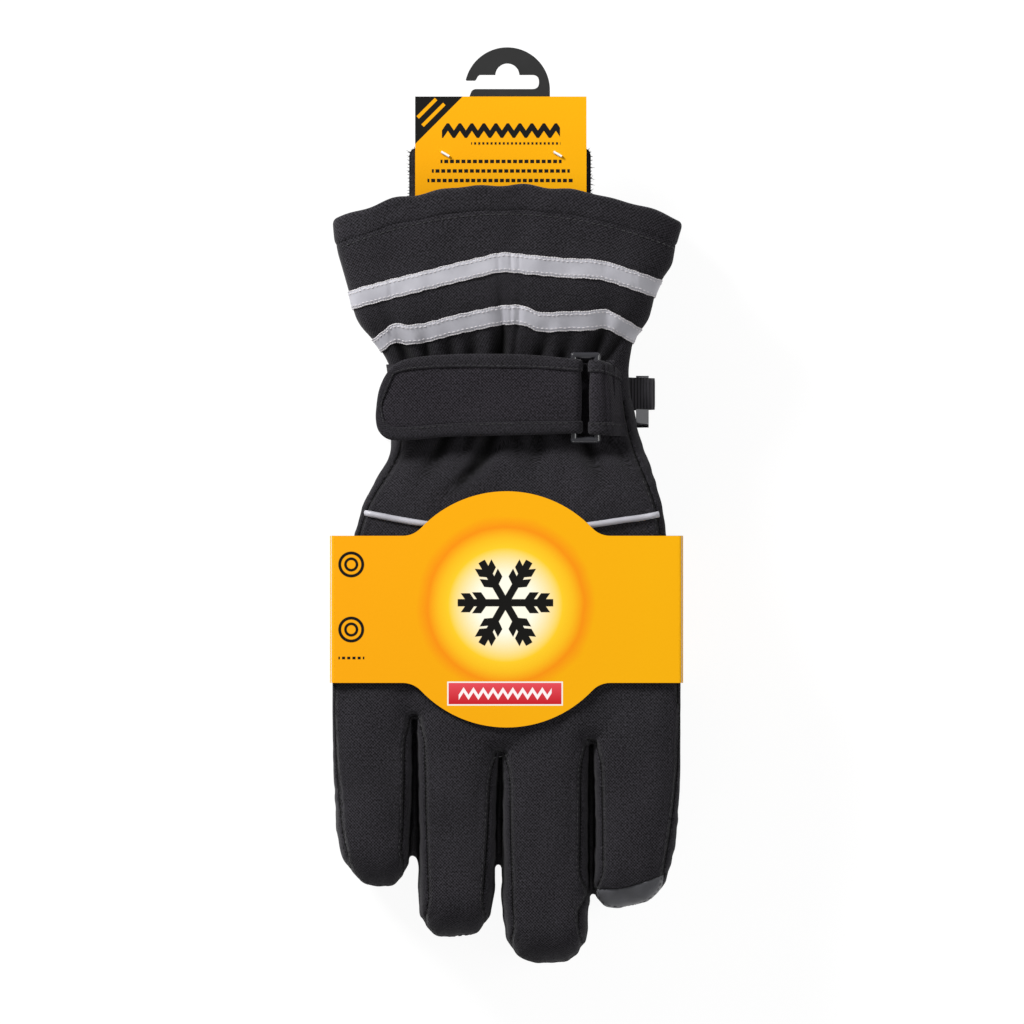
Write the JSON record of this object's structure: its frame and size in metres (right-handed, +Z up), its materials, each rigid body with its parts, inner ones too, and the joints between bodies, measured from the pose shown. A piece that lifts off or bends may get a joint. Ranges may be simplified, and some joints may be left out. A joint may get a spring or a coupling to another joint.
{
  "type": "padded winter work gloves, paired and carded",
  "caption": "Padded gauntlet work gloves lying palm to palm in a card sleeve, with wrist straps on slider rings, reflective trim and a hanging header card.",
  "frame": {"origin": "on the resting face, midway between the hook's crown and the middle fingertip, on the centre line of the sleeve", "axes": "+Y from the fingertips to the hook, +X towards the index fingers, +Z up from the resting face, through both gloves"},
  "size_m": [0.1292, 0.3356, 0.058],
  "materials": {
    "shell_twill": "fine twill",
    "strap_twill": "twill",
    "binding": "woven binding tape",
    "touch_fabric": "smooth coated",
    "wadding": "polyester wadding",
    "plush": "soft pile",
    "elastic": "ribbed elastic",
    "reflective": "retroreflective, satin",
    "hook_and_loop": "fine pile",
    "webbing": "ribbed grosgrain",
    "ring_plastic": "glossy moulded",
    "card": "printed card, satin",
    "hook_plastic": "moulded",
    "tack_plastic": "moulded",
    "clip_metal": "polished"
  },
  "bodies": {
    "pair": {"right_back_panel": "shell_twill", "right_palm_panel": "shell_twill", "right_fourchette_outer": "shell_twill", "right_fourchette_middle": "shell_twill", "right_fourchette_inner": "shell_twill", "right_touch_tip": "touch_fabric", "right_insulation": "wadding", "right_lining": "plush", "right_thumb_shell": "shell_twill", "right_thumb_lining": "plush", "right_cuff_shell": "shell_twill", "right_cuff_lining": "plush", "right_cuff_hem": "shell_twill", "right_wrist_elastic": "elastic", "right_tape_upper": "reflective", "right_tape_lower": "reflective", "right_knuckle_piping": "reflective", "right_strap_base": "strap_twill", "right_loop_patch": "hook_and_loop", "right_ring_tab": "strap_twill", "right_webbing_loop": "webbing", "left_back_panel": "shell_twill", "left_palm_panel": "shell_twill", "left_fourchette_outer": "shell_twill", "left_fourchette_middle": "shell_twill", "left_fourchette_inner": "shell_twill", "left_touch_tip": "touch_fabric", "left_insulation": "wadding", "left_lining": "plush", "left_thumb_shell": "shell_twill", "left_thumb_lining": "plush", "left_cuff_shell": "shell_twill", "left_cuff_lining": "plush", "left_cuff_hem": "shell_twill", "left_wrist_elastic": "elastic", "left_tape_upper": "reflective", "left_tape_lower": "reflective", "left_knuckle_piping": "reflective", "left_strap_base": "strap_twill", "left_loop_patch": "hook_and_loop", "left_ring_tab": "strap_twill", "left_webbing_loop": "webbing", "header_card": "card", "backing_tab": "plush", "tacks": "tack_plastic", "hang_hook": "hook_plastic", "pair_clip": "clip_metal"},
    "sleeve": {"band_sleeve": "card"},
    "right_tail": {"right_strap_tail": "strap_twill", "right_strap_binding": "binding", "right_hook_patch": "hook_and_loop"},
    "right_ring": {"right_slider_ring": "ring_plastic"},
    "left_tail": {"left_strap_tail": "strap_twill", "left_strap_binding": "binding", "left_hook_patch": "hook_and_loop"},
    "left_ring": {"left_slider_ring": "ring_plastic"}
  },
  "joints": [
    {"name": "sleeve_slide", "type": "slide", "parent": "pair", "child": "sleeve", "axis": [0, -1, 0], "range_m": [0, 0.18]},
    {"name": "right_ring_tilt", "type": "hinge", "parent": "pair", "child": "right_ring", "pos_m": [0.0331, 0.0392, 0.0536], "axis": [0, 1, 0], "range_deg": [0, 20]},
    {"name": "right_strap_peel", "type": "hinge", "parent": "right_ring", "child": "right_tail", "pos_m": [0.0246, 0.0392, 0.0536], "axis": [0, 1, 0], "range_deg": [0, 120]},
    {"name": "left_ring_tilt", "type": "hinge", "parent": "pair", "child": "left_ring", "pos_m": [0.0331, 0.0392, 0.0044], "axis": [0, -1, 0], "range_deg": [0, 20]},
    {"name": "left_strap_peel", "type": "hinge", "parent": "left_ring", "child": "left_tail", "pos_m": [0.0246, 0.0392, 0.0044], "axis": [0, -1, 0], "range_deg": [0, 120]}
  ]
}
